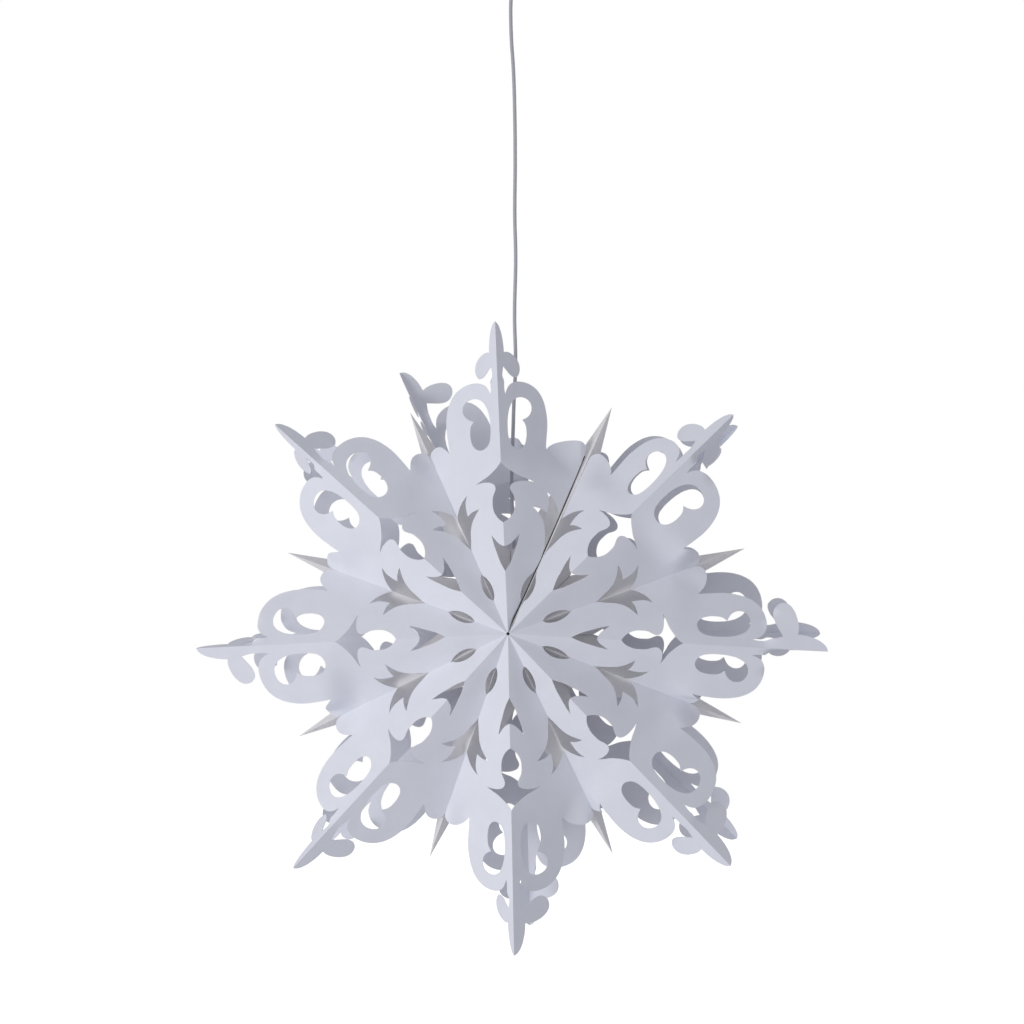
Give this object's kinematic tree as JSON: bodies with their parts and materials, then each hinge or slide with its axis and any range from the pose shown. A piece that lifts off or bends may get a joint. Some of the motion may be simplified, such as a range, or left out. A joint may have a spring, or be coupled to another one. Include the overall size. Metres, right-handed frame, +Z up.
{
  "type": "paper star lantern",
  "caption": "Folded paper snowflake star: cut-out front and back arms over a plain inner star, hung on a lamp cord from a ceiling cup.",
  "frame": {"origin": "middle of the two screw holes, on the ceiling strap's ceiling face", "axes": "+Z up, towards the ceiling; the star's front faces -Y; +X to the right seen from the front"},
  "size_m": [0.6032, 0.1748, 1.0118],
  "materials": {
    "front_paper": "smooth white card",
    "back_paper": "smooth white card",
    "inner_paper": "smooth warm white card",
    "white_plastic": "satin white plastic",
    "cord": "matt white sheath",
    "strap_steel": "zinc-plated strip",
    "contact_brass": "sprung strip",
    "lamp_metal": "threaded cap",
    "lamp_glass": "opal white glass"
  },
  "bodies": {
    "ceiling_fitting": {"ceiling_strap": "strap_steel", "ceiling_cup": "white_plastic", "cup_gland": "white_plastic"},
    "pendant": {"cord": "cord", "holder_gland": "white_plastic", "holder_cap": "white_plastic", "holder_body": "white_plastic", "holder_ring": "white_plastic", "holder_contact": "contact_brass"},
    "lamp": {"lamp_base": "lamp_metal", "lamp_globe": "lamp_glass"},
    "star": {"hanger_disc": "white_plastic", "front_arm_1": "front_paper", "front_arm_2": "front_paper", "front_arm_3": "front_paper", "front_arm_4": "front_paper", "front_arm_5": "front_paper", "front_arm_6": "front_paper", "front_arm_7": "front_paper", "front_arm_8": "front_paper", "back_arm_1": "back_paper", "back_arm_2": "back_paper", "back_arm_3": "back_paper", "back_arm_4": "back_paper", "back_arm_5": "back_paper", "back_arm_6": "back_paper", "back_arm_7": "back_paper", "back_arm_8": "back_paper", "inner_front_1": "inner_paper", "inner_front_2": "inner_paper", "inner_front_3": "inner_paper", "inner_front_4": "inner_paper", "inner_front_5": "inner_paper", "inner_front_6": "inner_paper", "inner_front_7": "inner_paper", "inner_front_8": "inner_paper", "inner_back_1": "inner_paper", "inner_back_2": "inner_paper", "inner_back_3": "inner_paper", "inner_back_4": "inner_paper", "inner_back_5": "inner_paper", "inner_back_6": "inner_paper", "inner_back_7": "inner_paper", "inner_back_8": "inner_paper"},
    "front_seam_flap": {"front_flap": "front_paper"},
    "back_seam_flap": {"back_flap": "back_paper"}
  },
  "joints": [
    {"name": "cord_swing", "type": "hinge", "parent": "ceiling_fitting", "child": "pendant", "pos_m": [0, 0, -0.05], "axis": [0, 1, 0], "range_deg": [-15, 15]},
    {"name": "star_turn", "type": "hinge", "parent": "pendant", "child": "star", "pos_m": [0, 0, -0.65], "axis": [0, 0, 1], "range_deg": [-180, 180]},
    {"name": "lamp_removal", "type": "slide", "parent": "pendant", "child": "lamp", "axis": [0, 0, -1], "range_m": [0, 0.018]},
    {"name": "front_flap_fold", "type": "hinge", "parent": "star", "child": "front_seam_flap", "pos_m": [0, -0.088, -0.71], "axis": [0.0487, -0.0858, -0.9951], "range_deg": [0, 35]},
    {"name": "back_flap_fold", "type": "hinge", "parent": "star", "child": "back_seam_flap", "pos_m": [0, 0.088, -0.71], "axis": [-0.4274, -0.0858, 0.9], "range_deg": [0, 35]}
  ]
}
